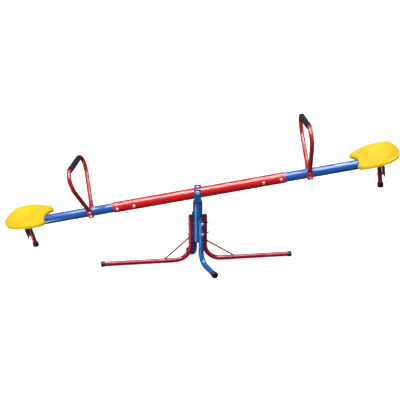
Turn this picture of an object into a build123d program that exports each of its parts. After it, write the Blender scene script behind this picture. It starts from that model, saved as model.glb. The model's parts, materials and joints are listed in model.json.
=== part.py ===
from build123d import *

import os
from math import cos, radians, sin, sqrt

os.makedirs("parts", exist_ok=True)

# A garden seesaw whose beam rocks on a yoke, and whose yoke turns all the way round on a post.
# The origin is on the ground under the post. +X runs along the beam towards the seat that is up at
# rest, +Z is up, and the long legs of the stand are turned a little about the post.
# Millimetres and degrees.

# ---- overall sizes ----
pivot_height = 372.0  # pivot bolt above the ground
rest_tilt = 11.1  # slope of the beam at rest
stand_turn = 7.0  # turn of the long legs away from the beam's direction
short_turn = -62.0  # the same for the front short leg, with the rear one opposite it
long_reach = 464.0  # post axis to the end of a long leg's foot cap
front_reach = 178.0  # the same for the front short leg
rear_reach = 104.0  # the same for the rear short leg

# ---- clearances ----
turning_play = 0.05  # radial, between a shaft and its bush
push_play = 0.05  # radial, between parts pushed or driven together
bolt_play = 0.2  # radial, in a bolt hole
side_play = 0.3  # between faces that pass each other
weld_play = 0.02  # between parts that are welded face to face

# ---- beam ----
arm_radius = 22.0
arm_wall = 2.0
arm_gap = 0.5  # radial, between an arm and the middle tube it goes into
arm_overlap = 130.0  # how far an arm goes into the middle tube
arm_end = 870.0  # outer end of an arm, along the beam
middle_wall = 2.5
middle_radius = arm_radius + arm_gap + middle_wall
middle_half_length = 400.0
joint_bolt_stations = (middle_half_length - 20.0, middle_half_length - 100.0)
pivot_rise = 12.0  # pivot above the middle tube's axis
plug_face = 3.0
plug_depth = 16.0

# ---- pivot ----
pivot_bolt_radius = 5.0
pivot_bush_wall = 2.0
pivot_flange_radius = 10.0
pivot_flange = 2.2
sleeve_wall = 2.0

# ---- yoke and swivel ----
yoke_plate = 4.0
yoke_width = 33.0
yoke_top = 16.0  # ear above the pivot
yoke_bottom = 48.0  # inside of the web below the pivot
yoke_bend = 5.0
yoke_corner = 5.0
stem_radius = 15.0
collar_radius = 19.5
retainer_radius = 17.0
retainer_thickness = 3.0
retainer_screw_radius = 4.0
retainer_screw_depth = 24.0

# ---- post and bushes ----
post_radius = 22.5
post_wall = 3.0
post_top = 308.0
post_bottom = 114.0
bush_flange_radius = 23.5
bush_flange = 3.0
upper_bush_length = 22.0
lower_bush_length = 18.0
stem_end = post_top - 70.0  # height of the stem's lower end

# ---- legs ----
long_leg_radius = 11.0
short_leg_radius = 12.5
leg_wall = 1.8
leg_top = 242.0
long_leg_bend = 78.0
short_leg_bend = 50.0
cap_rise = 9.5
cap_depth = 12.0
foot_length = 17.0
foot_wall = 2.5
foot_flat = 1.0  # taken off the round foot cap to stand flat
long_leg_bolt_heights = (209.0, 157.0)
short_leg_bolt_heights = (218.0, 166.0)
brace_radius = 3.7
# height where a brace meets the leg's upright, and distance from the post where it meets the run
right_brace = (110.0, 174.0)
left_brace = (128.0, 158.0)

# ---- handles ----
handle_station = 509.0
handle_lean = 2.4  # outwards, away from the post
handle_radius = 9.5
handle_wall = 1.6
handle_half_width = 136.0
handle_knee = 170.0  # height of the corner where a leg of the handle turns upright
handle_top = 242.0
handle_knee_bend = 80.0
handle_top_bend = 45.0
handle_start = (40.0, 34.0)  # side and height where the round tube begins
tab_width = 26.0
tab_thickness = 4.0
tab_bottom = -23.0
tab_top = 13.0
handle_bolt_rises = (7.0, -13.0)
grip_radius = 12.9
grip_half_length = 88.0

# ---- seats ----
seat_wall = 4.0
seat_skirt = 18.0
seat_front = 709.0
seat_rear = 901.0
seat_notch = 727.0
seat_half_width = 124.0
# points of the outline: distance back from the front edge, and out from the middle
notch_corner = 15.0
notch_flank = (14.5, 33.0)
lobe_inside = (10.0, 50.0)
lobe_tip = 72.0
lobe_outside = (13.0, 95.0)
thigh = (66.0, 119.0)
# the same for the back half, with the distance measured forward from the rear edge
hip = 80.0
rear_shoulder = (31.0, 106.0)
rear_corner = (8.0, 62.0)
rear_swell = (2.0, 32.0)
rim_front_height = arm_radius + 2  # rim above the beam's axis at the lobes
rim_slope = 0.17
dish_station = 813.0
dish_radius = 82.0
dish_depth = 11.0
boss_radius = 7.0
boss_stations = (795.0, 842.0)
boss_side = 52.0
bracket_thickness = 3.0
bracket_height = 8.0
bracket_side = 66.0
bracket_margin = 8.0
seat_screw_radius = 2.5
seat_screw_depth = 11.0

# ---- bumpers ----
bumper_station = 820.0
bumper_radius = 9.5
bumper_wall = 1.6
bumper_bottom = -127.0
bumper_foot_radius = 13.5
bumper_foot_height = 23.0
bumper_foot_base = 5.0
stay_station = 836.0
stay_thickness = 3.0
stay_half_width = 20.0
stay_bottom = -80.0
stay_bolt_drop = -62.0

# ---- fasteners ----
joint_bolt_radius = 4.0
small_bolt_radius = 3.0
washer_thickness = 1.6
head_share = 1.6  # head radius over shank radius
head_height_share = 0.8
thread_end = 3.0  # thread standing out of a nut


# ---- places ----
tilt_cos = cos(radians(rest_tilt))
tilt_sin = sin(radians(rest_tilt))
along = Vector(tilt_cos, 0, tilt_sin)
upward = Vector(-tilt_sin, 0, tilt_cos)
across = Vector(0, 1, 0)
beam_centre = Vector(0, 0, pivot_height) - upward * pivot_rise


def beam_point(x, y, z):
    """A point given along, across and above the middle tube's axis."""
    return beam_centre + along * x + across * y + upward * z


def beam_level(z):
    return Plane(origin=beam_point(0, 0, z), x_dir=along, z_dir=upward)


def beam_side(x, y, z, facing=-1):
    """A plane that faces -Y or +Y, with its origin at a point of the beam."""
    return Plane(origin=beam_point(x, y, z), x_dir=along, z_dir=across * facing)


def beam_section(x, y=0.0, z=0.0):
    return Plane(origin=beam_point(x, y, z), x_dir=across, z_dir=along)


def leg_plane(turn):
    """Upright plane through the post axis: local x is the distance from it, local y the height."""
    a = radians(turn)
    return Plane(origin=(0, 0, 0), x_dir=(cos(a), sin(a), 0), z_dir=(sin(a), -cos(a), 0))


def stand_side(turn, distance, height):
    """A plane that faces away from the post, at a distance and height."""
    a = radians(turn)
    out = Vector(cos(a), sin(a), 0)
    return Plane(origin=out * distance + Vector(0, 0, height), x_dir=(-sin(a), cos(a), 0), z_dir=out)


def finish(piece, name):
    piece.part.label = name
    export_step(piece.part, f"parts/{name}.step")


def mirrored(piece):
    """The same piece at the beam's other end."""
    with BuildPart() as other:
        mirror(piece.part, about=beam_section(0))
    return other


def pair(piece):
    """A piece and its mirror image at the beam's other end, as separate solids."""
    with BuildPart() as both:
        add(piece.part)
        mirror(piece.part, about=beam_section(0))
    return both


# ---- fasteners, each made with the underside of its head at the origin and its head towards +Z ----
def domed_bolt(radius, grip):
    rise = radius * head_height_share
    with BuildPart() as bolt:
        with BuildSketch(Plane.XY):
            Circle(radius * head_share)
        extrude(amount=rise)
        fillet(bolt.edges().group_by(Axis.Z)[-1], radius=rise * 0.7)
        with BuildSketch(Plane.XY):
            Circle(radius)
        extrude(amount=-grip)
    return bolt.part


def hexagon_bolt(radius, grip):
    with BuildPart() as bolt:
        with BuildSketch(Plane.XY):
            RegularPolygon(radius * head_share, 6, major_radius=False)
        extrude(amount=radius * 1.3)
        with BuildSketch(Plane.XY):
            Circle(radius)
        extrude(amount=-grip)
    return bolt.part


def ring(inner, outer, thickness):
    with BuildPart() as washer:
        with BuildSketch(Plane.XY):
            Circle(outer)
            Circle(inner, mode=Mode.SUBTRACT)
        extrude(amount=thickness)
    return washer.part


def hexagon_nut(radius):
    with BuildPart() as nut:
        with BuildSketch(Plane.XY):
            RegularPolygon(radius * head_share, 6, major_radius=False)
            Circle(radius + push_play, mode=Mode.SUBTRACT)
        extrude(amount=nut_height(radius))
        chamfer(nut.edges().filter_by(GeomType.LINE).group_by(Axis.Z)[-1], length=radius * 0.08)
    return nut.part


def nut_height(radius):
    return radius * 1.6


# ---- stand ----
long_leg = {
    "reach": long_reach,
    "radius": long_leg_radius,
    "bend": long_leg_bend,
    "bolts": long_leg_bolt_heights,
}
front_leg = {
    "reach": front_reach,
    "radius": short_leg_radius,
    "bend": short_leg_bend,
    "bolts": short_leg_bolt_heights,
}
rear_leg = {**front_leg, "reach": rear_reach}
legs = {
    "leg_right": (stand_turn, long_leg),
    "leg_left": (stand_turn + 180, long_leg),
    "leg_front": (short_turn, front_leg),
    "leg_rear": (short_turn + 180, rear_leg),
}


def upright_place(kind):
    """Distance from the post axis to the middle of a leg's upright."""
    return post_radius + kind["radius"] + push_play


def run_height(kind):
    """Height of the middle of a leg's level run."""
    return kind["radius"] + foot_wall - foot_flat


def leg_tube(turn, kind, radius, bore=0.0):
    """A leg's tube along its bent centreline, solid unless it has a bore."""
    upright = upright_place(kind)
    level = run_height(kind)
    end = kind["reach"] - foot_wall
    with BuildPart() as tube:
        with BuildLine(leg_plane(turn)) as path:
            FilletPolyline((upright, leg_top), (upright, level), (end, level), radius=kind["bend"])
        with BuildSketch(Plane(origin=path.wires()[0] @ 0, z_dir=path.wires()[0] % 0)):
            Circle(radius)
            if bore:
                Circle(bore, mode=Mode.SUBTRACT)
        sweep(path=path.wires()[0])
    return tube


def leg(turn, kind):
    tube = leg_tube(turn, kind, kind["radius"], kind["radius"] - leg_wall)
    with BuildPart() as piece:
        add(tube.part)
        for height in kind["bolts"]:
            with BuildSketch(stand_side(turn, upright_place(kind), height)):
                Circle(joint_bolt_radius + bolt_play)
            extrude(amount=kind["radius"] + 1, both=True, mode=Mode.SUBTRACT)
    return piece


for name, (turn, kind) in legs.items():
    finish(leg(turn, kind), name)


def brace(name, high, far):
    """A thin rod from a leg's upright to its level run, cut to the tube at both ends."""
    turn, kind = legs[name]
    top_of_run = run_height(kind) + kind["radius"]
    side_of_leg = upright_place(kind) + kind["radius"]
    slope = (high - top_of_run) / (far - side_of_leg)
    sunk = kind["radius"] * 0.6
    start = (side_of_leg - sunk, high + sunk * slope)
    end = (far + sunk / slope, top_of_run - sunk)
    tube = leg_tube(turn, kind, kind["radius"] + weld_play)
    with BuildPart() as rod:
        with BuildLine(leg_plane(turn)) as path:
            Line(start, end)
        with BuildSketch(Plane(origin=path.line @ 0, z_dir=path.line % 0)):
            Circle(brace_radius)
        sweep(path=path.line)
        add(tube.part, mode=Mode.SUBTRACT)
    return rod


finish(brace("leg_right", *right_brace), "brace_right")
finish(brace("leg_left", *left_brace), "brace_left")


def leg_cap(turn, kind):
    """Domed plug in the top of a leg."""
    place = leg_plane(turn).from_local_coords((upright_place(kind), leg_top, 0))
    with BuildPart() as cap:
        with BuildSketch(Plane(place)):
            Circle(kind["radius"])
        extrude(amount=cap_rise)
        fillet(cap.edges().group_by(Axis.Z)[-1], radius=cap_rise * 0.9)
        with BuildSketch(Plane(place)):
            Circle(kind["radius"] - leg_wall - push_play)
        extrude(amount=-cap_depth)
    return cap


def foot_cap(turn, kind):
    """Ferrule over the end of a leg, with a flat to stand on."""
    reach = kind["reach"]
    with BuildPart() as cap:
        with BuildSketch(stand_side(turn, reach, run_height(kind))):
            Circle(kind["radius"] + foot_wall)
        extrude(amount=-foot_length)
        fillet(cap.edges().filter_by(GeomType.CIRCLE).sort_by_distance((0, 0, 0))[-1], radius=2)
        with BuildSketch(stand_side(turn, reach - foot_wall, run_height(kind))):
            Circle(kind["radius"] + push_play)
        extrude(amount=-foot_length, mode=Mode.SUBTRACT)
        split(bisect_by=Plane.XY, keep=Keep.TOP)
    return cap


with BuildPart() as leg_caps:
    for turn, kind in legs.values():
        add(leg_cap(turn, kind).part)
finish(leg_caps, "leg_caps")

with BuildPart() as foot_caps:
    for turn, kind in legs.values():
        add(foot_cap(turn, kind).part)
finish(foot_caps, "foot_caps")


def leg_bolt_face(kind):
    """Distance from the post axis to the outside of a leg, where its bolts' washers lie."""
    return upright_place(kind) + kind["radius"]


bolt_lines = []
for name in ("leg_left", "leg_front"):
    turn, kind = legs[name]
    for height in kind["bolts"]:
        bolt_lines.append((turn, height, leg_bolt_face(kind)))

with BuildPart() as centre_post:
    with BuildSketch(Plane.XY.offset(post_bottom)):
        Circle(post_radius)
        Circle(post_radius - post_wall, mode=Mode.SUBTRACT)
    extrude(amount=post_top - post_bottom)
    for turn, height, face in bolt_lines:
        with BuildSketch(stand_side(turn, 0, height)):
            Circle(joint_bolt_radius + bolt_play)
        extrude(amount=post_radius + 1, both=True, mode=Mode.SUBTRACT)
finish(centre_post, "centre_post")

with BuildPart() as post_plug:
    with BuildSketch(Plane.XY.offset(post_bottom)):
        Circle(post_radius)
    extrude(amount=-plug_face)
    fillet(post_plug.edges().group_by(Axis.Z)[0], radius=1.5)
    with BuildSketch(Plane.XY.offset(post_bottom)):
        Circle(post_radius - post_wall - push_play)
    extrude(amount=plug_depth)
finish(post_plug, "post_plug")

leg_washer = ring(joint_bolt_radius + bolt_play, joint_bolt_radius * 2, washer_thickness)
leg_nut = hexagon_nut(joint_bolt_radius)

with BuildPart() as leg_bolts:
    for turn, height, face in bolt_lines:
        grip = 2 * (face + washer_thickness) + nut_height(joint_bolt_radius) + thread_end
        with Locations(stand_side(turn, face + washer_thickness, height).location):
            add(domed_bolt(joint_bolt_radius, grip))
finish(leg_bolts, "leg_bolts")

with BuildPart() as leg_washers:
    for turn, height, face in bolt_lines:
        for side in (turn, turn + 180):
            with Locations(stand_side(side, face, height).location):
                add(leg_washer)
finish(leg_washers, "leg_washers")

with BuildPart() as leg_nuts:
    for turn, height, face in bolt_lines:
        with Locations(stand_side(turn + 180, face + washer_thickness, height).location):
            add(leg_nut)
finish(leg_nuts, "leg_nuts")


# ---- swivel ----
def bush(top, length, flange):
    with BuildPart() as sleeve:
        with BuildSketch(Plane.XY.offset(top)):
            Circle(post_radius - post_wall - push_play)
        extrude(amount=-length)
        if flange:
            with BuildSketch(Plane.XY.offset(top)):
                Circle(bush_flange_radius)
            extrude(amount=flange)
        with BuildSketch(Plane.XY.offset(top - length)):
            Circle(stem_radius + turning_play)
        extrude(amount=length + flange, mode=Mode.SUBTRACT)
    return sleeve


lower_bush_top = stem_end + 2 * side_play + lower_bush_length
finish(bush(post_top, upper_bush_length, bush_flange), "upper_bush")
finish(bush(lower_bush_top, lower_bush_length, 0.0), "lower_bush")

collar_bottom = post_top + bush_flange + side_play
web_underside = pivot_height - yoke_bottom - yoke_plate

with BuildPart() as swivel_stem:
    with BuildSketch(Plane.XY.offset(collar_bottom)):
        Circle(collar_radius)
    extrude(amount=web_underside - collar_bottom)
    with BuildSketch(Plane.XY.offset(stem_end)):
        Circle(stem_radius)
    extrude(amount=collar_bottom - stem_end)
    with BuildSketch(Plane.XY.offset(stem_end)):
        Circle(retainer_screw_radius + push_play)
    extrude(amount=retainer_screw_depth, mode=Mode.SUBTRACT)
finish(swivel_stem, "swivel_stem")

with BuildPart() as retaining_washer:
    with BuildSketch(Plane.XY.offset(stem_end - retainer_thickness)):
        Circle(retainer_radius)
        Circle(retainer_screw_radius + bolt_play, mode=Mode.SUBTRACT)
    extrude(amount=retainer_thickness)
finish(retaining_washer, "retaining_washer")

screw_face = Plane(origin=(0, 0, stem_end - retainer_thickness), x_dir=(1, 0, 0), z_dir=(0, 0, -1))
retaining_bolt = hexagon_bolt(retainer_screw_radius, retainer_thickness + retainer_screw_depth - 2)
with BuildPart() as retaining_screw:
    with Locations(screw_face.location):
        add(retaining_bolt)
finish(retaining_screw, "retaining_screw")


# ---- yoke and pivot ----
bush_face = middle_radius + push_play
ear_inside = bush_face + pivot_flange + side_play
ear_outside = ear_inside + yoke_plate

with BuildPart() as yoke:
    with BuildSketch(Plane.YZ.offset(-yoke_width / 2)):
        with BuildLine():
            FilletPolyline(
                (-ear_outside, pivot_height + yoke_top),
                (-ear_outside, web_underside),
                (ear_outside, web_underside),
                (ear_outside, pivot_height + yoke_top),
                radius=yoke_bend + yoke_plate,
            )
            FilletPolyline(
                (-ear_inside, pivot_height + yoke_top),
                (-ear_inside, web_underside + yoke_plate),
                (ear_inside, web_underside + yoke_plate),
                (ear_inside, pivot_height + yoke_top),
                radius=yoke_bend,
            )
            Line((-ear_outside, pivot_height + yoke_top), (-ear_inside, pivot_height + yoke_top))
            Line((ear_outside, pivot_height + yoke_top), (ear_inside, pivot_height + yoke_top))
        make_face()
    extrude(amount=yoke_width)
    fillet(yoke.edges().filter_by(Axis.Y).group_by(Axis.Z)[-1], radius=yoke_corner)
    with BuildSketch(Plane.XZ):
        with Locations((0, pivot_height)):
            Circle(pivot_bolt_radius + turning_play)
    extrude(amount=ear_outside + 1, both=True, mode=Mode.SUBTRACT)
finish(yoke, "yoke")

pivot_grip = 2 * (ear_outside + washer_thickness) + nut_height(pivot_bolt_radius) + thread_end
near_ear = Plane(origin=(0, -ear_outside, pivot_height), x_dir=(1, 0, 0), z_dir=(0, -1, 0))
far_ear = Plane(origin=(0, ear_outside, pivot_height), x_dir=(1, 0, 0), z_dir=(0, 1, 0))
pivot_shank = hexagon_bolt(pivot_bolt_radius, pivot_grip)
pivot_washer = ring(pivot_bolt_radius + bolt_play, pivot_bolt_radius * 2, washer_thickness)
pivot_lock_nut = hexagon_nut(pivot_bolt_radius)

with BuildPart() as pivot_bolt:
    with Locations(near_ear.offset(washer_thickness).location):
        add(pivot_shank)
finish(pivot_bolt, "pivot_bolt")

with BuildPart() as pivot_washers:
    with Locations(near_ear.location, far_ear.location):
        add(pivot_washer)
finish(pivot_washers, "pivot_washers")

with BuildPart() as pivot_nut:
    with Locations(far_ear.offset(washer_thickness).location):
        add(pivot_lock_nut)
finish(pivot_nut, "pivot_nut")

sleeve_bore = pivot_bolt_radius + turning_play + pivot_bush_wall + push_play
sleeve_radius = sleeve_bore + sleeve_wall

with BuildPart() as pivot_sleeve:
    with BuildSketch(beam_side(0, -middle_radius, pivot_rise)):
        Circle(sleeve_radius)
        Circle(sleeve_bore, mode=Mode.SUBTRACT)
    extrude(amount=-2 * middle_radius)
finish(pivot_sleeve, "pivot_sleeve")

with BuildPart() as pivot_bushes:
    for facing in (-1, 1):
        with BuildSketch(beam_side(0, facing * bush_face, pivot_rise, facing)):
            Circle(pivot_flange_radius)
            Circle(pivot_bolt_radius + turning_play, mode=Mode.SUBTRACT)
        extrude(amount=pivot_flange)
        with BuildSketch(beam_side(0, facing * bush_face, pivot_rise, facing)):
            Circle(sleeve_bore - push_play)
            Circle(pivot_bolt_radius + turning_play, mode=Mode.SUBTRACT)
        extrude(amount=-0.8 * middle_radius)
finish(pivot_bushes, "pivot_bushes")


# ---- beam tubes ----
with BuildPart() as middle_tube:
    with BuildSketch(beam_section(-middle_half_length)):
        Circle(middle_radius)
        Circle(middle_radius - middle_wall, mode=Mode.SUBTRACT)
    extrude(amount=2 * middle_half_length)
    with BuildSketch(beam_side(0, 0, pivot_rise)):
        Circle(sleeve_radius + weld_play)
    extrude(amount=middle_radius + 1, both=True, mode=Mode.SUBTRACT)
    for station in joint_bolt_stations:
        for end in (-1, 1):
            with BuildSketch(beam_side(end * station, 0, 0)):
                Circle(joint_bolt_radius + bolt_play)
            extrude(amount=middle_radius + 1, both=True, mode=Mode.SUBTRACT)
finish(middle_tube, "middle_tube")

# The handle's own plane leans outwards, so its bolts step along the arm as they rise.
lean = radians(handle_lean)
handle_up = upward * cos(lean) + along * sin(lean)
handle_plane = Plane(
    origin=beam_point(handle_station, 0, 0), x_dir=across, z_dir=across.cross(handle_up)
)


def handle_bolt_place(rise):
    """Distance along the beam and height above its axis of a handle bolt."""
    return handle_station + rise * sin(lean), rise * cos(lean)


with BuildPart() as arm_right:
    with BuildSketch(beam_section(middle_half_length - arm_overlap)):
        Circle(arm_radius)
        Circle(arm_radius - arm_wall, mode=Mode.SUBTRACT)
    extrude(amount=arm_end - middle_half_length + arm_overlap)
    for station in joint_bolt_stations:
        with BuildSketch(beam_side(station, 0, 0)):
            Circle(joint_bolt_radius + bolt_play)
        extrude(amount=arm_radius + 1, both=True, mode=Mode.SUBTRACT)
    for rise in handle_bolt_rises:
        station, height = handle_bolt_place(rise)
        with BuildSketch(beam_side(station, 0, height)):
            Circle(small_bolt_radius + bolt_play)
        extrude(amount=arm_radius + 1, both=True, mode=Mode.SUBTRACT)
finish(arm_right, "arm_right")
finish(mirrored(arm_right), "arm_left")

with BuildPart() as arm_plug:
    with BuildSketch(beam_section(arm_end)):
        Circle(arm_radius)
    extrude(amount=plug_face)
    fillet(arm_plug.edges().filter_by(GeomType.CIRCLE).sort_by_distance((0, 0, 0))[-1], radius=1.5)
    with BuildSketch(beam_section(arm_end)):
        Circle(arm_radius - arm_wall - push_play)
    extrude(amount=-plug_depth)
finish(pair(arm_plug), "arm_plugs")

joint_bolt = domed_bolt(
    joint_bolt_radius,
    2 * (middle_radius + washer_thickness) + nut_height(joint_bolt_radius) + thread_end,
)
with BuildPart() as joint_bolts:
    for station in joint_bolt_stations:
        with Locations(beam_side(station, -middle_radius - washer_thickness, 0).location):
            add(joint_bolt)
finish(pair(joint_bolts), "joint_bolts")

joint_washer = ring(joint_bolt_radius + bolt_play, joint_bolt_radius * 1.7, washer_thickness)
joint_nut = hexagon_nut(joint_bolt_radius)
with BuildPart() as joint_washers:
    for station in joint_bolt_stations:
        for facing in (-1, 1):
            with Locations(beam_side(station, facing * middle_radius, 0, facing).location):
                add(joint_washer)
finish(pair(joint_washers), "joint_washers")

with BuildPart() as joint_nuts:
    for station in joint_bolt_stations:
        with Locations(beam_side(station, middle_radius + washer_thickness, 0, 1).location):
            add(joint_nut)
finish(pair(joint_nuts), "joint_nuts")


# ---- handles ----
tab_centre = arm_radius + push_play + tab_thickness / 2
start_side, start_height = handle_start


def on_handle(side, height):
    return handle_plane.from_local_coords((side, height, 0))


def handle_route():
    """Centreline of the round tube: up one side, over the top and down the other."""
    with BuildLine(handle_plane) as route:
        FilletPolyline(
            (-start_side, start_height),
            (-handle_half_width, handle_knee),
            (-handle_half_width, handle_top),
            (handle_half_width, handle_top),
            (handle_half_width, handle_knee),
            (start_side, start_height),
            radius=(handle_knee_bend, handle_top_bend, handle_top_bend, handle_knee_bend),
        )
    return route.wires()[0]


def handle_section(side):
    """Plane square to the tube where it begins, its local y along the beam."""
    route = handle_route()
    place = 0 if side < 0 else 1
    return Plane(origin=route @ place, x_dir=handle_plane.z_dir, z_dir=route % place)


def tab_section(side, height):
    """Level plane across a flattened end, its local x along the beam."""
    return Plane(
        origin=on_handle(side * tab_centre, height), x_dir=handle_plane.z_dir, z_dir=handle_up
    )


route = handle_route()
with BuildPart() as handle_right:
    with BuildSketch(handle_section(-1)):
        Circle(handle_radius)
        Circle(handle_radius - handle_wall, mode=Mode.SUBTRACT)
    sweep(path=route)
    for side in (-1, 1):
        with BuildSketch(tab_section(side, tab_top)):
            RectangleRounded(tab_width, tab_thickness, tab_thickness * 0.45)
        with BuildSketch(handle_section(side)):
            Circle(handle_radius)
        loft()
        with BuildSketch(tab_section(side, tab_bottom)):
            RectangleRounded(tab_width, tab_thickness, tab_thickness * 0.45)
        extrude(amount=tab_top - tab_bottom)
    for rise in handle_bolt_rises:
        station, height = handle_bolt_place(rise)
        with BuildSketch(beam_side(station, 0, height)):
            Circle(small_bolt_radius + bolt_play)
        extrude(amount=tab_centre + tab_thickness, both=True, mode=Mode.SUBTRACT)
finish(handle_right, "handle_right")
finish(mirrored(handle_right), "handle_left")

with BuildPart() as grip_right:
    grip_plane = Plane(
        origin=on_handle(-grip_half_length, handle_top), x_dir=handle_plane.z_dir, z_dir=across
    )
    with BuildSketch(grip_plane):
        Circle(grip_radius)
        Circle(handle_radius + push_play, mode=Mode.SUBTRACT)
    extrude(amount=2 * grip_half_length)
    fillet(grip_right.edges().filter_by(GeomType.CIRCLE), radius=1.2)
finish(grip_right, "grip_right")
finish(mirrored(grip_right), "grip_left")

tab_face = tab_centre + tab_thickness / 2
handle_bolt = domed_bolt(
    small_bolt_radius, 2 * tab_face + nut_height(small_bolt_radius) + thread_end
)
handle_nut = hexagon_nut(small_bolt_radius)
with BuildPart() as handle_bolts:
    for rise in handle_bolt_rises:
        station, height = handle_bolt_place(rise)
        with Locations(beam_side(station, -tab_face, height).location):
            add(handle_bolt)
finish(pair(handle_bolts), "handle_bolts")

with BuildPart() as handle_nuts:
    for rise in handle_bolt_rises:
        station, height = handle_bolt_place(rise)
        with Locations(beam_side(station, tab_face, height, 1).location):
            add(handle_nut)
finish(pair(handle_nuts), "handle_nuts")


# ---- seats ----
rim_along = (along + upward * rim_slope).normalized()
rim_plane = Plane(
    origin=beam_point(seat_front, 0, rim_front_height), x_dir=rim_along, z_dir=rim_along.cross(across)
)
dish_ball = (dish_radius**2 + dish_depth**2) / (2 * dish_depth)
dish_run = (dish_station - seat_front) * sqrt(1 + rim_slope**2)
dish_centre = rim_plane.from_local_coords((dish_run, 0, dish_ball - dish_depth))
ball_turn = (90, 0, 0)  # poles sideways, clear of the dish
seat_block = 90.0  # taller than the whole seat
widest = (seat_rear - hip, seat_half_width)


def from_front(point):
    return seat_front + point[0], point[1]


def from_rear(point):
    return seat_rear - point[0], point[1]


def seat_prism(inset):
    """Upright block of the seat's outline: two lobes in front of a notch, and a round back."""
    with BuildPart() as prism:
        with BuildSketch(beam_level(0)):
            with BuildLine():
                Line((seat_notch, 0), (seat_notch, notch_corner))
                ThreePointArc((seat_notch, notch_corner), from_front(notch_flank), from_front(lobe_inside))
                ThreePointArc(from_front(lobe_inside), (seat_front, lobe_tip), from_front(lobe_outside))
                ThreePointArc(from_front(lobe_outside), from_front(thigh), widest)
                ThreePointArc(widest, from_rear(rear_shoulder), from_rear(rear_corner))
                ThreePointArc(from_rear(rear_corner), from_rear(rear_swell), (seat_rear, 0))
                mirror(about=Plane.XZ)
            make_face()
            if inset:
                offset(amount=-inset, mode=Mode.REPLACE)
        extrude(amount=seat_block)
    return prism


boss_places = [(x, y) for x in boss_stations for y in (-boss_side, boss_side)]
boss_bottom = bracket_height + bracket_thickness

with BuildPart() as seat_hollow:
    add(seat_prism(seat_wall).part)
    split(bisect_by=rim_plane.offset(-seat_wall), keep=Keep.BOTTOM)
    with Locations(dish_centre):
        Sphere(dish_ball + seat_wall, rotation=ball_turn, mode=Mode.SUBTRACT)

with BuildPart() as seat_right:
    add(seat_prism(0).part)
    split(bisect_by=rim_plane.offset(-seat_skirt), keep=Keep.TOP)
    add(seat_hollow.part, mode=Mode.SUBTRACT)
    with BuildSketch(beam_level(boss_bottom)):
        with Locations(*boss_places):
            Circle(boss_radius)
    extrude(amount=seat_block)
    split(bisect_by=rim_plane, keep=Keep.BOTTOM)
    with Locations(dish_centre):
        Sphere(dish_ball, rotation=ball_turn, mode=Mode.SUBTRACT)
    with BuildSketch(beam_level(boss_bottom)):
        with Locations(*boss_places):
            Circle(seat_screw_radius + push_play)
    extrude(amount=seat_screw_depth, mode=Mode.SUBTRACT)
    with BuildSketch(beam_section(seat_front - 1)):
        Circle(arm_radius + side_play)
    extrude(amount=seat_rear - seat_front - 2 * seat_wall, mode=Mode.SUBTRACT)
finish(seat_right, "seat_right")
finish(mirrored(seat_right), "seat_left")

bracket_front = boss_stations[0] - boss_radius - bracket_margin
bracket_rear = boss_stations[1] + boss_radius + bracket_margin
with BuildPart() as seat_brackets:
    with BuildSketch(beam_level(bracket_height)):
        with Locations(((bracket_front + bracket_rear) / 2, 0)):
            RectangleRounded(bracket_rear - bracket_front, 2 * bracket_side, 6)
        with Locations(*boss_places):
            Circle(seat_screw_radius + bolt_play, mode=Mode.SUBTRACT)
    extrude(amount=bracket_thickness)
    with BuildSketch(beam_section(bracket_front - 1)):
        Circle(arm_radius + weld_play)
    extrude(amount=bracket_rear - bracket_front + 2, mode=Mode.SUBTRACT)
finish(pair(seat_brackets), "seat_brackets")

seat_screw = domed_bolt(seat_screw_radius, bracket_thickness + seat_screw_depth - 1)
with BuildPart() as seat_screws:
    for x, y in boss_places:
        under = Plane(origin=beam_point(x, y, bracket_height), x_dir=along, z_dir=-upward)
        with Locations(under.location):
            add(seat_screw)
finish(pair(seat_screws), "seat_screws")


# ---- bumpers ----
def bumper_level(z):
    return Plane(origin=beam_point(bumper_station, 0, z), x_dir=along, z_dir=upward)


stay_face = stay_station - bumper_station
stay_bolt_line = beam_section(bumper_station, 0, stay_bolt_drop)

with BuildPart() as bumper_right:
    with BuildSketch(bumper_level(bumper_bottom + bumper_foot_base)):
        Circle(bumper_radius)
        Circle(bumper_radius - bumper_wall, mode=Mode.SUBTRACT)
    extrude(amount=-bumper_bottom - bumper_foot_base - arm_radius / 2)
    with BuildSketch(beam_section(bumper_station - 2 * bumper_radius)):
        Circle(arm_radius + weld_play)
    extrude(amount=4 * bumper_radius, mode=Mode.SUBTRACT)
    with BuildSketch(stay_bolt_line):
        Circle(small_bolt_radius + bolt_play)
    extrude(amount=bumper_radius + 1, both=True, mode=Mode.SUBTRACT)
finish(bumper_right, "bumper_right")
finish(mirrored(bumper_right), "bumper_left")

with BuildPart() as bumper_foot:
    with BuildSketch(bumper_level(bumper_bottom)):
        Circle(bumper_foot_radius)
    extrude(amount=bumper_foot_height)
    fillet(bumper_foot.edges().filter_by(GeomType.CIRCLE), radius=2.5)
    with BuildSketch(bumper_level(bumper_bottom + bumper_foot_base)):
        Circle(bumper_radius + push_play)
    extrude(amount=bumper_foot_height, mode=Mode.SUBTRACT)
finish(pair(bumper_foot), "bumper_feet")

with BuildPart() as bumper_stay:
    with BuildSketch(beam_section(stay_station)):
        with Locations((0, stay_bottom / 2)):
            Rectangle(2 * stay_half_width, -stay_bottom)
        Circle(arm_radius + weld_play, mode=Mode.SUBTRACT)
        with Locations((0, stay_bolt_drop)):
            Circle(small_bolt_radius + bolt_play, mode=Mode.SUBTRACT)
    extrude(amount=stay_thickness)
finish(pair(bumper_stay), "bumper_stays")

with BuildPart() as stay_spacer:
    with BuildSketch(stay_bolt_line.offset(stay_face)):
        Circle(small_bolt_radius * 2)
        Circle(small_bolt_radius + bolt_play, mode=Mode.SUBTRACT)
    extrude(amount=-stay_face + bumper_radius)
finish(pair(stay_spacer), "stay_spacers")

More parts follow.
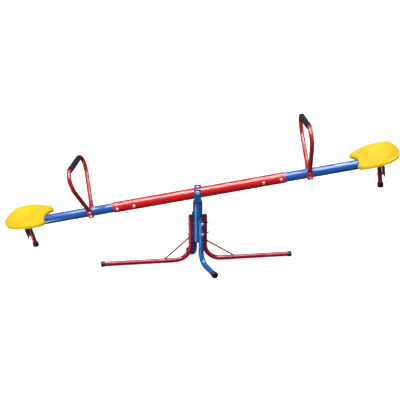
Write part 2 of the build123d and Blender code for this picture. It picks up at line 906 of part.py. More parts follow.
inner_face = Plane(
    origin=beam_point(bumper_station - bumper_radius, 0, stay_bolt_drop), x_dir=across, z_dir=-along
)
stay_grip = bumper_radius + stay_face + stay_thickness + nut_height(small_bolt_radius) + thread_end
stay_bolt = domed_bolt(small_bolt_radius, stay_grip)
stay_nut = hexagon_nut(small_bolt_radius)
with BuildPart() as stay_bolts:
    with Locations(inner_face.location):
        add(stay_bolt)
finish(pair(stay_bolts), "stay_bolts")

with BuildPart() as stay_nuts:
    with Locations(stay_bolt_line.offset(stay_face + stay_thickness).location):
        add(stay_nut)
finish(pair(stay_nuts), "stay_nuts")
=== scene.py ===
import json
from math import atan2, cos, exp, pi, radians, sin, sqrt

import bmesh
import bpy
from mathutils import Matrix, Vector


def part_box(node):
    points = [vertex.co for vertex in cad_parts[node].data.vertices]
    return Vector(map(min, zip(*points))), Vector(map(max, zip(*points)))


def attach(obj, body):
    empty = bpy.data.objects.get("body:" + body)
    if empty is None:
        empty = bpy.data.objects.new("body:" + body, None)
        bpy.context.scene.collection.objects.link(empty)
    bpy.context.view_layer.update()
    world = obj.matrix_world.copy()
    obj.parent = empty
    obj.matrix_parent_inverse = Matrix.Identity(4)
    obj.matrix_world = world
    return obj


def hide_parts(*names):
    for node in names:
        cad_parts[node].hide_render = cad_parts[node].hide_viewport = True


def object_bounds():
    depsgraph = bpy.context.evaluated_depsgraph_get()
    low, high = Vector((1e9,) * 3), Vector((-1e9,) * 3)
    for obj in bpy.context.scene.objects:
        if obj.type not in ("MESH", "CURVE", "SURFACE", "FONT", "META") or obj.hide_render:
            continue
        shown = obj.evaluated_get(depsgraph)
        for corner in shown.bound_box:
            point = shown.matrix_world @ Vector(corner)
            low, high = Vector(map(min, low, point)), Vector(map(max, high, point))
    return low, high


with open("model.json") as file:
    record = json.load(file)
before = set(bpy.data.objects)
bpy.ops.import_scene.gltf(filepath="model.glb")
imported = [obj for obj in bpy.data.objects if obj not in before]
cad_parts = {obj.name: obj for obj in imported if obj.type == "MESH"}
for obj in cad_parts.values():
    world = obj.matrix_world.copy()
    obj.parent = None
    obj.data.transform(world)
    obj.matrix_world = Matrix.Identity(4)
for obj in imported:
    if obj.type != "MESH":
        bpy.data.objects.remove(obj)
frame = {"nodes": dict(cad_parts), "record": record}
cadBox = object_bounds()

# A garden seesaw: a tube beam with two moulded seats and two loop handles, on a post with four legs.
# The pieces' lengths are in millimetres and turn into metres through mm. The studio's are in metres.
mm = 0.001
nodes = frame["nodes"]
slotOf = {part["node"]: part["material_slot"] for part in frame["record"]["subparts"]}


def middleOf(name):
    low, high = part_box(name)
    return (low + high) / 2


# the beam's own directions: x outwards to the raised seat, y across, z up, from the middle of its axis
armSpan = middleOf("arm_right") - middleOf("arm_left")
beamTilt = atan2(armSpan.z, armSpan.x)
beamMiddle = (middleOf("arm_right") + middleOf("arm_left")) / 2
beamPlace = Matrix.Translation(beamMiddle) @ Matrix.Rotation(-beamTilt, 4, "Y")
mirrorOver = Matrix.Diagonal((-1, 1, 1, 1))


def toLinear(hexValue):
    # "#rrggbb" as the eye sees it, turned to the linear colour that shaders use
    parts = [int(hexValue[i : i + 2], 16) / 255 for i in (1, 3, 5)]
    return [p / 12.92 if p <= 0.04045 else ((p + 0.055) / 1.055) ** 2.4 for p in parts] + [1.0]


def addNode(tree, kind, settings=None, values=None, links=None):
    # One node, with its settings, the values of its inputs and the sockets that feed them.
    # Inputs go by name, or by number in a colour mix: 0 is its factor, 6 and 7 are its colours.
    node = tree.nodes.new(kind)
    for key, value in (settings or {}).items():
        setattr(node, key, value)
    for key, value in (values or {}).items():
        node.inputs[key].default_value = value
    for key, source in (links or {}).items():
        tree.links.new(source, node.inputs[key])
    return node


def newMaterial(name):
    material = bpy.data.materials.new(name)
    material.use_nodes = True
    material.node_tree.nodes.clear()
    return material, material.node_tree


def finishMaterial(tree, shader):
    addNode(tree, "ShaderNodeOutputMaterial", links={"Surface": shader.outputs["BSDF"]})


# every look below gives its lowest and highest roughness
powderLook = {
    "roughness": (0.13, 0.19),
    "peelWidth": 2.4,  # orange peel waves, mm, drawn a little wider than real ones so that they show
    "peelHeight": 0.035,
    "cloudWidth": 60,  # slow change of shade where the coat is thicker
    "shade": (0.15, 0.85),  # how far thin and thick places go towards the deeper colour
}


def powderCoat(name, colour, deeper, look=powderLook):
    # Polyester powder coat, sprayed and baked on steel tube: an even gloss with faint orange peel,
    # and a slightly deeper colour where the coat runs thick.
    material, tree = newMaterial(name)
    place = addNode(tree, "ShaderNodeTexCoord").outputs["Object"]
    clouds = addNode(
        tree, "ShaderNodeTexNoise",
        values={"Scale": 1000 / look["cloudWidth"], "Detail": 3.0, "Roughness": 0.5},
        links={"Vector": place},
    ).outputs["Fac"]
    peel = addNode(
        tree, "ShaderNodeTexNoise",
        values={"Scale": 1000 / look["peelWidth"], "Detail": 1.0, "Roughness": 0.4},
        links={"Vector": place},
    ).outputs["Fac"]
    thick = addNode(
        tree, "ShaderNodeMapRange", None,
        {"To Min": look["shade"][0], "To Max": look["shade"][1]}, {"Value": clouds},
    ).outputs["Result"]
    coat = addNode(
        tree, "ShaderNodeMix", {"data_type": "RGBA"},
        {6: toLinear(colour), 7: toLinear(deeper)}, {0: thick},
    ).outputs[2]
    roughness = addNode(
        tree, "ShaderNodeMapRange", None,
        {"To Min": look["roughness"][0], "To Max": look["roughness"][1]}, {"Value": clouds},
    ).outputs["Result"]
    bump = addNode(
        tree, "ShaderNodeBump", values={"Strength": 0.6, "Distance": look["peelHeight"] * mm},
        links={"Height": peel},
    )
    shader = addNode(
        tree, "ShaderNodeBsdfPrincipled",
        values={"IOR": 1.5},
        links={
            "Base Color": coat,
            "Roughness": roughness,
            "Normal": bump.outputs["Normal"],
        },
    )
    finishMaterial(tree, shader)
    return material


plateLook = {
    "bright": "#eceff4",
    "dull": "#ccd1d9",
    "roughness": (0.32, 0.5),
    "crystalWidth": 1.5,  # plating crystals, mm, drawn coarser than real so that they show
    "crystalHeight": 0.01,
    "streakWidth": 8,
}


def brightZinc(name, look=plateLook):
    # Steel with bright zinc plate and a clear blue passivate: cool silver, slightly uneven in tone.
    material, tree = newMaterial(name)
    place = addNode(tree, "ShaderNodeTexCoord").outputs["Object"]
    streaks = addNode(
        tree, "ShaderNodeTexNoise", values={"Scale": 1000 / look["streakWidth"], "Detail": 4.0},
        links={"Vector": place},
    ).outputs["Fac"]
    crystals = addNode(
        tree, "ShaderNodeTexVoronoi", values={"Scale": 1000 / look["crystalWidth"]},
        links={"Vector": place},
    ).outputs["Distance"]
    silver = addNode(
        tree, "ShaderNodeMix", {"data_type": "RGBA"},
        {6: toLinear(look["bright"]), 7: toLinear(look["dull"])}, {0: streaks},
    ).outputs[2]
    roughness = addNode(
        tree, "ShaderNodeMapRange", None,
        {"To Min": look["roughness"][0], "To Max": look["roughness"][1]}, {"Value": streaks},
    ).outputs["Result"]
    bump = addNode(
        tree, "ShaderNodeBump", values={"Strength": 0.4, "Distance": look["crystalHeight"] * mm},
        links={"Height": crystals},
    )
    shader = addNode(
        tree, "ShaderNodeBsdfPrincipled",
        values={"Metallic": 1.0},
        links={
            "Base Color": silver,
            "Roughness": roughness,
            "Normal": bump.outputs["Normal"],
        },
    )
    finishMaterial(tree, shader)
    return material


seatLook = {
    "roughness": (0.36, 0.5),
    "grainWidth": 1.6,  # fine spark-eroded mould texture, mm, drawn coarser than real so that it shows
    "grainHeight": 0.05,
    "cloudWidth": 45,
    "scatter": 0.12,
}


def mouldedPolyethylene(name, colour, deeper, look=seatLook):
    # HDPE, injection moulded and coloured right through: waxy half gloss, soft light inside the edges.
    material, tree = newMaterial(name)
    place = addNode(tree, "ShaderNodeTexCoord").outputs["Object"]
    clouds = addNode(
        tree, "ShaderNodeTexNoise", values={"Scale": 1000 / look["cloudWidth"], "Detail": 2.0},
        links={"Vector": place},
    ).outputs["Fac"]
    grain = addNode(
        tree, "ShaderNodeTexNoise",
        values={"Scale": 1000 / look["grainWidth"], "Detail": 2.0, "Roughness": 0.6},
        links={"Vector": place},
    ).outputs["Fac"]
    dyed = addNode(
        tree, "ShaderNodeMix", {"data_type": "RGBA"},
        {6: toLinear(colour), 7: toLinear(deeper)}, {0: clouds},
    ).outputs[2]
    roughness = addNode(
        tree, "ShaderNodeMapRange", None,
        {"To Min": look["roughness"][0], "To Max": look["roughness"][1]}, {"Value": grain},
    ).outputs["Result"]
    bump = addNode(
        tree, "ShaderNodeBump", values={"Strength": 0.5, "Distance": look["grainHeight"] * mm},
        links={"Height": grain},
    )
    shader = addNode(
        tree, "ShaderNodeBsdfPrincipled",
        values={
            "IOR": 1.51,
            "Specular IOR Level": 0.2,
            "Subsurface Weight": look["scatter"],
            "Subsurface Radius": (0.006, 0.004, 0.001),
            "Subsurface Scale": 1.0,
        },
        links={
            "Base Color": dyed,
            "Roughness": roughness,
            "Normal": bump.outputs["Normal"],
        },
    )
    finishMaterial(tree, shader)
    return material


foamLook = {
    "roughness": (0.75, 0.95),
    "cellWidth": 1.3,  # closed cells, mm, drawn coarser than real so that they show
    "cellHeight": 0.25,
    "creaseWidth": 14,
}


def closedCellFoam(name, colour, paler, look=foamLook):
    # NBR foam sleeve, extruded and cut to length: a matt skin with small cells.
    material, tree = newMaterial(name)
    place = addNode(tree, "ShaderNodeTexCoord").outputs["Object"]
    cells = addNode(
        tree, "ShaderNodeTexVoronoi", {"feature": "F1"}, {"Scale": 1000 / look["cellWidth"]},
        {"Vector": place},
    ).outputs["Distance"]
    creases = addNode(
        tree, "ShaderNodeTexNoise", values={"Scale": 1000 / look["creaseWidth"], "Detail": 5.0},
        links={"Vector": place},
    ).outputs["Fac"]
    skin = addNode(
        tree, "ShaderNodeMix", {"data_type": "RGBA"},
        {6: toLinear(colour), 7: toLinear(paler)}, {0: creases},
    ).outputs[2]
    roughness = addNode(
        tree, "ShaderNodeMapRange", None,
        {"To Min": look["roughness"][0], "To Max": look["roughness"][1]}, {"Value": cells},
    ).outputs["Result"]
    bump = addNode(
        tree, "ShaderNodeBump", values={"Strength": 0.9, "Distance": look["cellHeight"] * mm},
        links={"Height": cells},
    )
    shader = addNode(
        tree, "ShaderNodeBsdfPrincipled",
        values={"IOR": 1.45, "Specular IOR Level": 0.1, "Sheen Weight": 0.03, "Sheen Roughness": 0.5},
        links={
            "Base Color": skin,
            "Roughness": roughness,
            "Normal": bump.outputs["Normal"],
        },
    )
    finishMaterial(tree, shader)
    return material


def mouldedSolid(name, colour, paler, gloss, grainWidth, grainHeight):
    # Moulded rubber or nylon, coloured all through: its gloss is the mould's, with a faint grain.
    # The gloss is its lowest and highest roughness, and the grain, in mm, is coarser than real.
    material, tree = newMaterial(name)
    place = addNode(tree, "ShaderNodeTexCoord").outputs["Object"]
    grain = addNode(
        tree, "ShaderNodeTexNoise", values={"Scale": 1000 / grainWidth, "Detail": 3.0},
        links={"Vector": place},
    ).outputs["Fac"]
    dyed = addNode(
        tree, "ShaderNodeMix", {"data_type": "RGBA"},
        {6: toLinear(colour), 7: toLinear(paler)}, {0: grain},
    ).outputs[2]
    roughness = addNode(
        tree, "ShaderNodeMapRange", None, {"To Min": gloss[0], "To Max": gloss[1]}, {"Value": grain}
    ).outputs["Result"]
    bump = addNode(
        tree, "ShaderNodeBump", values={"Strength": 0.5, "Distance": grainHeight * mm},
        links={"Height": grain},
    )
    shader = addNode(
        tree, "ShaderNodeBsdfPrincipled",
        values={"IOR": 1.5, "Specular IOR Level": 0.3},
        links={
            "Base Color": dyed,
            "Roughness": roughness,
            "Normal": bump.outputs["Normal"],
        },
    )
    finishMaterial(tree, shader)
    return material


finishes = {
    "red_powder_coat": powderCoat("powderCoatRed", "#dc1a1a", "#cb151b"),
    "crimson_powder_coat": powderCoat("powderCoatCrimson", "#aa0322", "#93021d"),
    "beam_blue_powder_coat": powderCoat("powderCoatBeamBlue", "#2165bf", "#1a57ae"),
    "stand_blue_powder_coat": powderCoat("powderCoatStandBlue", "#0669bc", "#045eae"),
    "maroon_powder_coat": powderCoat("powderCoatMaroon", "#b40828", "#98051f"),
    "zinc_plate": brightZinc("brightZincPlate"),
    "yellow_plastic": mouldedPolyethylene("mouldedPolyethyleneYellow", "#ffdc00", "#ffd000"),
    "foam_grip": closedCellFoam("nitrileFoamNavy", "#070a1a", "#0c1126"),
    "black_rubber": mouldedSolid("mouldedRubberBlack", "#0c0d12", "#16171d", (0.42, 0.58), 2.0, 0.06),
    "black_plastic": mouldedSolid("polishedNylonBlack", "#060607", "#0c0c0e", (0.12, 0.28), 5.0, 0.01),
    "brown_nylon": mouldedSolid("machinedNylonBrown", "#8a3524", "#9c4430", (0.37, 0.53), 1.5, 0.02),
    "white_nylon": mouldedSolid("mouldedNylonWhite", "#d9d6cc", "#e4e2da", (0.32, 0.48), 2.0, 0.02),
}
for name, node in nodes.items():
    node.data.materials.clear()
    node.data.materials.append(finishes[slotOf[name]])
print("materials:", len(finishes))


def makePiece(bm, name, body, slotName, place=None, smooth=True):
    # writes a bmesh drawn in metres to an object at the origin, with its normals outwards
    bmesh.ops.remove_doubles(bm, verts=bm.verts, dist=1e-6)
    if place is not None:
        bmesh.ops.transform(bm, matrix=place, verts=bm.verts)
    bmesh.ops.recalc_face_normals(bm, faces=bm.faces)
    mesh = bpy.data.meshes.new(name)
    bm.to_mesh(mesh)
    bm.free()
    for face in mesh.polygons:
        face.use_smooth = smooth
    mesh.materials.append(finishes[slotName])
    piece = bpy.data.objects.new(name, mesh)
    bpy.context.scene.collection.objects.link(piece)
    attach(piece, body)
    return piece


def addModifier(piece, kind, **settings):
    modifier = piece.modifiers.new(kind.title(), kind)
    for key, value in settings.items():
        setattr(modifier, key, value)
    return modifier


seat = {
    # half of the outline, from the middle of the notch round a front lobe to the middle of the back
    "outline": [
        (727.2, 0), (727, 15), (723.5, 33), (719, 49), (711.5, 61), (709.4, 72), (712, 84), (722, 95),
        (746, 109), (775, 118.5), (800, 122.6), (821, 123.6), (847, 119), (870, 105), (884, 86),
        (892.5, 62), (898.2, 32), (900.4, 0),
    ],
    "middle": (812, 0),
    "front": 709,
    "frontHeight": 24,  # rim above the beam's axis at the front lobes
    "slope": 0.17,
    "dishDepth": 15,
    "dishMiddle": 842,
    "dishReach": (46, 86),  # along and across the beam
    "rollHeight": 1.6,  # the rim's raised bead, and how far in from the edge it ends
    "rollWidth": 9,
    "skirt": 17.6,
    "edgeRound": 6,
    "wall": 3.6,
    "armRoom": 22.6,
    "armRoomEnd": 872,
    "gridCells": 32,
}


def seatOutline():
    # a smooth closed curve through the outline's points, as (angle, distance) from the seat's middle
    half = seat["outline"]
    around = half + [(x, -y) for x, y in reversed(half[1:-1])]
    curve = bpy.data.curves.new("seatOutline", "CURVE")
    curve.dimensions = "3D"
    curve.resolution_u = 16
    spline = curve.splines.new("BEZIER")
    spline.bezier_points.add(len(around) - 1)
    for point, (x, y) in zip(spline.bezier_points, around):
        point.co = (x, y, 0)
        point.handle_left_type = point.handle_right_type = "AUTO"
    spline.use_cyclic_u = True
    guide = bpy.data.objects.new("seatOutline", curve)
    mesh = bpy.data.meshes.new_from_object(guide)
    midX, midY = seat["middle"]
    found = sorted(
        (atan2(v.co.y - midY, v.co.x - midX), sqrt((v.co.x - midX) ** 2 + (v.co.y - midY) ** 2))
        for v in mesh.vertices
    )
    bpy.data.meshes.remove(mesh)
    bpy.data.objects.remove(guide)
    bpy.data.curves.remove(curve)
    return found


def distanceAt(outline, angle):
    for (a, near), (b, far) in zip(outline, outline[1:]):
        if a <= angle <= b:
            return near + (far - near) * (angle - a) / max(b - a, 1e-9)
    (a, near), (b, far) = outline[-1], (outline[0][0] + 2 * pi, outline[0][1])
    if angle < outline[0][0]:
        angle += 2 * pi
    return near + (far - near) * (angle - a) / max(b - a, 1e-9)


def rimHeight(x):
    return seat["frontHeight"] + seat["slope"] * (x - seat["front"])


def topHeight(x, y):
    # the seat's upper face: the sloping rim less the dish
    alongReach, acrossReach = seat["dishReach"]
    apart = ((x - seat["dishMiddle"]) / alongReach) ** 2 + (y / acrossReach) ** 2
    return rimHeight(x) - seat["dishDepth"] * exp(-(apart**2))


def skirtBottom(x, y):
    # the skirt hangs below the rim, and is cut away round the arm
    bottom = rimHeight(x) - seat["skirt"]
    if abs(y) < seat["armRoom"] and x < seat["armRoomEnd"]:
        bottom = max(bottom, sqrt(seat["armRoom"] ** 2 - y * y))
    return bottom


def seatShell():
    outline = seatOutline()
    bm = bmesh.new()
    bmesh.ops.create_grid(bm, x_segments=seat["gridCells"], y_segments=seat["gridCells"], size=1)
    midX, midY = seat["middle"]
    for v in bm.verts:
        u, w = v.co.x, v.co.y
        x, y = u * sqrt(1 - w * w / 2), w * sqrt(1 - u * u / 2)  # square to disc
        out = min(1, sqrt(x * x + y * y))
        angle = atan2(y, x)
        edge = distanceAt(outline, angle)
        px, py = midX + out * edge * cos(angle), midY + out * edge * sin(angle)
        inFromEdge = (1 - out) * edge / seat["rollWidth"]
        groove = seat["rollHeight"] * (1 - exp(-(inFromEdge**2)))
        v.co = (px, py, topHeight(px, py) - groove)
    rim = [e for e in bm.edges if e.is_boundary]
    fresh = bmesh.ops.extrude_edge_only(bm, edges=rim)["geom"]
    for v in (g for g in fresh if isinstance(g, bmesh.types.BMVert)):
        v.co.z = skirtBottom(v.co.x, v.co.y)
    bmesh.ops.bevel(
        bm, geom=rim, offset=seat["edgeRound"], offset_type="OFFSET", segments=3, profile=0.5,
        affect="EDGES", material=-1,
    )
    bmesh.ops.scale(bm, vec=(mm, mm, mm), verts=bm.verts)
    return bm


under = {
    "bossRadius": 7,
    "bossDraft": 0.6,
    "bossEdge": 0.8,
    "bossPlaces": [(795, 52), (795, -52), (842, 52), (842, -52)],
    "bossBottom": 11,
    "ribThickness": 2.2,
    "ribDepth": 9,  # below the seat's upper face
    "ribSteps": 16,
    "acrossRibs": [774, 868],  # distance along the beam
    "alongRibs": [-78, -30, 30, 78],
    "acrossFrom": 30,  # the ribs across keep clear of the arm
    "acrossTo": 104,
    "ribEdge": 0.4,
}


def seatBosses():
    # posts under the shell that the bracket's screws go into
    bm = bmesh.new()
    for x, y in under["bossPlaces"]:
        top = topHeight(x, y) - seat["wall"] / 2
        depth = top - under["bossBottom"]
        bmesh.ops.create_cone(
            bm, cap_ends=True, segments=36, depth=depth,
            radius1=under["bossRadius"], radius2=under["bossRadius"] + under["bossDraft"],
            matrix=Matrix.Translation((x, y, top - depth / 2)),
        )
    lowRings = [e for e in bm.edges if all(v.co.z < under["bossBottom"] + 0.1 for v in e.verts)]
    bmesh.ops.bevel(
        bm, geom=lowRings, offset=under["bossEdge"], offset_type="OFFSET", segments=2, profile=0.5,
        affect="EDGES", material=-1,
    )
    bmesh.ops.scale(bm, vec=(mm, mm, mm), verts=bm.verts)
    return bm


def seatRibs():
    # thin walls under the shell, each a strip from the shell's underside down by the rib's depth
    bm = bmesh.new()
    front, back = under["acrossRibs"]
    lines = [((front, y), (back, y)) for y in under["alongRibs"]]
    for x in under["acrossRibs"]:
        for side in (-1, 1):
            lines.append(((x, side * under["acrossFrom"]), (x, side * under["acrossTo"])))
    for start, end in lines:
        strip = bmesh.ops.create_grid(bm, x_segments=under["ribSteps"], y_segments=2, size=1)["verts"]
        for v in strip:
            t = (v.co.x + 1) / 2
            x, y = start[0] + (end[0] - start[0]) * t, start[1] + (end[1] - start[1]) * t
            top = topHeight(x, y) - seat["wall"] / 2
            share = 1 if v.co.y < 0 else 0.5 if v.co.y == 0 else 0
            v.co = (x, y, top - under["ribDepth"] * share)
    bmesh.ops.scale(bm, vec=(mm, mm, mm), verts=bm.verts)
    return bm


for side, turn in (("right", Matrix.Identity(4)), ("left", mirrorOver)):
    shell = makePiece(seatShell(), "seatShell_" + side, "beam", "yellow_plastic", beamPlace @ turn)
    addModifier(shell, "SOLIDIFY", thickness=seat["wall"] * mm, offset=-1)
    addModifier(shell, "SUBSURF", levels=2, render_levels=2)
    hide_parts("seat_" + side)
    makePiece(seatBosses(), "seatBosses_" + side, "beam", "yellow_plastic", beamPlace @ turn)
    ribs = makePiece(
        seatRibs(), "seatRibs_" + side, "beam", "yellow_plastic", beamPlace @ turn, smooth=False
    )
    addModifier(ribs, "SOLIDIFY", thickness=under["ribThickness"] * mm, offset=0)
    addModifier(ribs, "BEVEL", width=under["ribEdge"] * mm, segments=2)
print("seats made")

grip = {
    "round": 3.0,
    "roundAngles": (0.35, 0.7, 1.05, 1.4),  # points on the rounded end, in radians from the end face
    "sleeve": 9.6,  # the bore's radius
    "lip": 1.0,
    "lipDrop": 0.8,
    "lengthSteps": 35,
    "steps": 48,
}


def foamSleeve(node):
    # half of the sleeve's section in the plane x = 0, spun about the grip's own axis
    low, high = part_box(node)
    centre, half = (low + high) / 2, (high.y - low.y) / 2
    radius = (high.z - low.z) / 2
    bm = bmesh.new()
    corner = grip["round"] * mm
    inner = grip["sleeve"] * mm
    profile = [(inner, half - grip["lipDrop"] * mm), (inner + grip["lip"] * mm, half)]
    profile += [
        (radius - corner + corner * sin(a), half - corner + corner * cos(a))
        for a in grip["roundAngles"]
    ]
    straight, steps = half - corner, grip["lengthSteps"] + 1
    line = profile + [(radius, straight - 2 * straight * i / steps) for i in range(1, steps)]
    line += [(r, -y) for r, y in reversed(profile)]
    verts = [bm.verts.new((0, y, r)) for r, y in line]
    edges = [bm.edges.new(pair) for pair in zip(verts, verts[1:])]
    edges.append(bm.edges.new((verts[-1], verts[0])))
    bmesh.ops.spin(
        bm, geom=verts + edges, cent=(0, 0, 0), axis=(0, 1, 0), dvec=(0, 0, 0), angle=2 * pi,
        steps=grip["steps"], use_merge=True, use_duplicate=False,
    )
    bmesh.ops.translate(bm, vec=centre, verts=bm.verts)
    return bm


for side in ("left", "right"):
    sleeve = makePiece(foamSleeve("grip_" + side), "foamSleeve_" + side, "beam", "foam_grip")
    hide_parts("grip_" + side)
print("grips made")

weld = {
    "thickness": 1.5,
    "ripple": 0.22,
    "steps": 96,
    "wave": 4,  # steps from one ripple to the next
    "stayAhead": 16,  # from the bumper tube's axis to the stay's inner face
    "arcHalf": 55,  # degrees each way from straight below the arm
    "arcSteps": 24,
    "rodRadius": 3.7,
    "rodTopDrop": 1.5,  # in rod radii, from the corner of the rod's box to its end
    "rodFootBack": 1.6,
}


def weldBead(name, body, slotName, path, closed=True):
    # weld metal along the line where two pieces meet, its ripples in the curve's radius
    curve = bpy.data.curves.new(name, "CURVE")
    curve.dimensions = "3D"
    curve.bevel_depth = weld["thickness"] * mm
    curve.bevel_resolution = 3
    spline = curve.splines.new("POLY")
    spline.points.add(len(path) - 1)
    for i, (point, place) in enumerate(zip(spline.points, path)):
        point.co = (*place, 1)
        point.radius = 1 + weld["ripple"] * sin(2 * pi * i / weld["wave"])
    spline.use_cyclic_u = closed
    spline.use_smooth = True
    curve.materials.append(finishes[slotName])
    bead = bpy.data.objects.new(name, curve)
    bpy.context.scene.collection.objects.link(bead)
    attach(bead, body)


def beamPath(points, turn):
    return [beamPlace @ turn @ (Vector(p) * mm) for p in points]


angles = [2 * pi * i / weld["steps"] for i in range(weld["steps"])]
stemLow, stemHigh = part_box("swivel_stem")
collarRadius = (stemHigh.x - stemLow.x) / 2
collarRing = [(collarRadius * cos(a), collarRadius * sin(a), stemHigh.z) for a in angles]
weldBead("collarWeld", "swivel", "stand_blue_powder_coat", collarRing)

armRadius = (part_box("arm_right")[1].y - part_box("arm_right")[0].y) / 2 / mm
tubeRadius = (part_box("bumper_right")[1].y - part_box("bumper_right")[0].y) / 2 / mm
tubeStation = (beamPlace.inverted() @ middleOf("bumper_right")).x / mm
saddle = []
for a in angles:
    across = tubeRadius * sin(a)
    saddle.append((tubeStation + tubeRadius * cos(a), across, -sqrt(armRadius**2 - across**2)))
stayFace = tubeStation + weld["stayAhead"]
stayArc = []
for i in range(-weld["arcSteps"], weld["arcSteps"] + 1):
    a = radians(weld["arcHalf"]) * i / weld["arcSteps"]
    stayArc.append((stayFace, armRadius * sin(a), -armRadius * cos(a)))
stay = {
    "halfWidth": 20,
    "bottom": -80,
    "notch": 11,
    "thickness": 3,
    "armGap": 0.1,
    "edge": 0.5,
    "steps": 12,
}


def stayPlates():
    # a flat strip under each seat, cut to the arm at the top and to a swallow tail at the bottom
    bm = bmesh.new()
    for turn in (Matrix.Identity(4), mirrorOver):
        strip = bmesh.ops.create_grid(bm, x_segments=stay["steps"], y_segments=4, size=1)["verts"]
        for v in strip:
            y, up = v.co.x * stay["halfWidth"], (v.co.y + 1) / 2
            top = -sqrt((armRadius + stay["armGap"]) ** 2 - y * y)
            bottom = stay["bottom"] + stay["notch"] * (1 - abs(v.co.x))
            v.co = turn @ Vector((stayFace + stay["thickness"] / 2, y, bottom + (top - bottom) * up))
    bmesh.ops.scale(bm, vec=(mm, mm, mm), verts=bm.verts)
    return bm


plates = makePiece(stayPlates(), "stayPlates", "beam", "maroon_powder_coat", beamPlace, smooth=False)
addModifier(plates, "SOLIDIFY", thickness=stay["thickness"] * mm, offset=0)
addModifier(plates, "BEVEL", width=stay["edge"] * mm, segments=2)
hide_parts("bumper_stays")

for side, turn in (("right", Matrix.Identity(4)), ("left", mirrorOver)):
    weldBead("bumperWeld_" + side, "beam", "maroon_powder_coat", beamPath(saddle, turn))
    weldBead("stayWeld_" + side, "beam", "maroon_powder_coat", beamPath(stayArc, turn), closed=False)

# the brace rods, each with a bead round its upper and its lower end
rodRadius = weld["rodRadius"] * mm
for side, outward in (("right", 1), ("left", -1)):
    low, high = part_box("brace_" + side)
    near, far = (low.x, high.x) if outward > 0 else (high.x, low.x)
    nearY, farY = (low.y, high.y) if outward > 0 else (high.y, low.y)
    # the rod's ends lie a little inside the corners of its box
    drop, footBack = weld["rodTopDrop"] * rodRadius, weld["rodFootBack"] * rodRadius
    top = Vector((near + outward * mm, nearY + outward * rodRadius, high.z - drop))
    foot = Vector((far - outward * footBack, farY - outward * rodRadius, low.z + mm))
    run = (foot - top).normalized()
    flat = run.cross(Vector((0, 0, 1))).normalized()
    along = Vector((run.x, run.y, 0)).normalized()
    for place, lengthwise, end in ((top, Vector((0, 0, 1)), "Top"), (foot, along, "Foot")):
        stretch = 1 / sqrt(1 - run.dot(lengthwise) ** 2)
        ring = [
            place + rodRadius * (lengthwise * stretch * cos(a) + flat * sin(a)) for a in angles[::2]
        ]
        weldBead("braceWeld" + end + "_" + side, "stand", "crimson_powder_coat", ring)
print("welds made")

studio = {
    "floorSize": 90.0,  # metres, so that it fills the picture
    "floorDrop": 0.5,  # mm below the feet
    "backdropRadius": 40.5,
    "paperColour": "#ffffff",
    "floorGlow": 0.5,
    "roomAbove": "#f6f8ff",
    "roomBelow": "#6e7178",
    "roomStrength": 0.36,
}
panels = {"frontPanel": (2.7, (-0.6, -1.8, 2.3)), "rearPanel": (0.7, (0.9, 1.8, 1.5))}  # strength, place
panelLook = {"softness": 50, "aim": (0, 0, 0.2)}  # softness in degrees
longStrips = {
    "leans": {"frontStrip": 60, "topStrip": 82, "backStrip": 106},  # degrees up from the front
    "distance": 2.2,
    "power": 80,
    "size": (4.0, 0.09),
    "aim": (0, 0, 0.35),
}
hazeBox = {"power": 120, "size": (4.0, 1.2), "place": (0, -0.25, 2.7), "aim": (0, 0, 0.35)}
lowStrip = {"power": 10, "size": (0.16, 0.8), "place": (-1.15, -1.1, -0.5), "aim": (0, 0, 0.12)}


def makePaper(name, bm, glow, height=0.0):
    # white paper that sends no light back up, so the undersides stay dark
    mesh = bpy.data.meshes.new(name)
    bm.to_mesh(mesh)
    bm.free()
    material, tree = newMaterial(name + "Paper")
    white = toLinear(studio["paperColour"])
    shader = addNode(
        tree, "ShaderNodeBsdfPrincipled",
        values={
            "Base Color": white,
            "Roughness": 0.9,
            "Specular IOR Level": 0.0,
            "Emission Color": white,
            "Emission Strength": glow,
        },
    )
    finishMaterial(tree, shader)
    mesh.materials.append(material)
    paper = bpy.data.objects.new(name, mesh)
    paper.location.z = height
    paper.visible_diffuse = False
    paper.visible_glossy = False
    paper.visible_shadow = False
    bpy.context.scene.collection.objects.link(paper)


def makeStage():
    bm = bmesh.new()
    bmesh.ops.create_grid(bm, x_segments=1, y_segments=1, size=studio["floorSize"] / 2)
    makePaper("floor", bm, studio["floorGlow"], cadBox[0].z - studio["floorDrop"] * mm)
    bm = bmesh.new()
    bmesh.ops.create_uvsphere(bm, u_segments=48, v_segments=24, radius=studio["backdropRadius"])
    makePaper("backdrop", bm, 1.0)


def placeLight(light, position, aim):
    lamp = bpy.data.objects.new(light.name, light)
    lamp.location = position
    lamp.rotation_euler = (Vector(aim) - Vector(position)).to_track_quat("-Z", "Y").to_euler()
    bpy.context.scene.collection.objects.link(lamp)
    return lamp


def addStrip(name, power, size, place, aim):
    # a white strip box that only shows as a streak on glossy faces
    light = bpy.data.lights.new(name, "AREA")
    light.energy = power
    light.shape = "RECTANGLE"
    light.size, light.size_y = size
    placeLight(light, place, aim).visible_diffuse = False


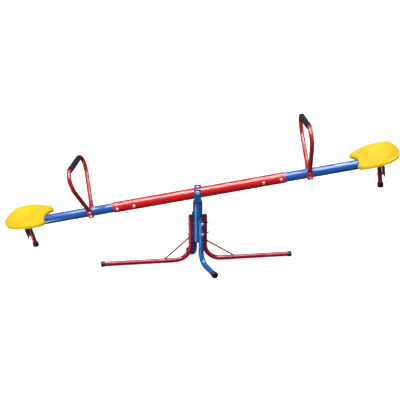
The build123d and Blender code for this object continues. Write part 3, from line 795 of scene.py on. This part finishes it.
def makeRoom():
    world = bpy.data.worlds.new("paleRoom")
    bpy.context.scene.world = world
    world.use_nodes = True
    tree = world.node_tree
    tree.nodes.clear()
    direction = addNode(tree, "ShaderNodeTexCoord").outputs["Generated"]
    height = addNode(tree, "ShaderNodeSeparateXYZ", links={"Vector": direction}).outputs["Z"]
    upness = addNode(
        tree, "ShaderNodeMapRange", values={"From Min": -0.5, "From Max": 0.6}, links={"Value": height}
    ).outputs["Result"]
    shades = addNode(
        tree, "ShaderNodeMix", {"data_type": "RGBA"},
        {6: toLinear(studio["roomBelow"]), 7: toLinear(studio["roomAbove"])}, {0: upness},
    ).outputs[2]
    room = addNode(
        tree, "ShaderNodeBackground",
        values={"Strength": studio["roomStrength"]},
        links={"Color": shades},
    )
    addNode(tree, "ShaderNodeOutputWorld", links={"Surface": room.outputs["Background"]})


makeStage()
makeRoom()
for name, (strength, place) in panels.items():
    panel = bpy.data.lights.new(name, "SUN")
    panel.energy = strength
    panel.angle = radians(panelLook["softness"])
    placeLight(panel, place, panelLook["aim"]).visible_glossy = False
for name, lean in longStrips["leans"].items():
    turn = radians(lean)
    away = Vector((0, -cos(turn), sin(turn))) * longStrips["distance"]
    place = Vector(longStrips["aim"]) + away
    addStrip(name, longStrips["power"], longStrips["size"], place, longStrips["aim"])
addStrip("hazeBox", **hazeBox)
addStrip("lowStrip", **lowStrip)

# millimetres, with the angles in degrees
view = {"aim": (10.5, 0, 323.5), "distance": 2405, "side": 0.63, "height": 23.59, "lens": 46.88}
cameraData = bpy.data.cameras.new("camera")
cameraData.lens = view["lens"]
cameraData.sensor_width = 36
camera = bpy.data.objects.new("camera", cameraData)
aim = Vector(view["aim"]) * mm
side, height = radians(view["side"]), radians(view["height"])
back = Vector((sin(side) * cos(height), -cos(side) * cos(height), sin(height)))
camera.location = aim + back * view["distance"] * mm
camera.rotation_euler = (-back).to_track_quat("-Z", "Y").to_euler()
bpy.context.scene.collection.objects.link(camera)
bpy.context.scene.camera = camera
bpy.context.scene.view_settings.view_transform = "Standard"
print("stage set")
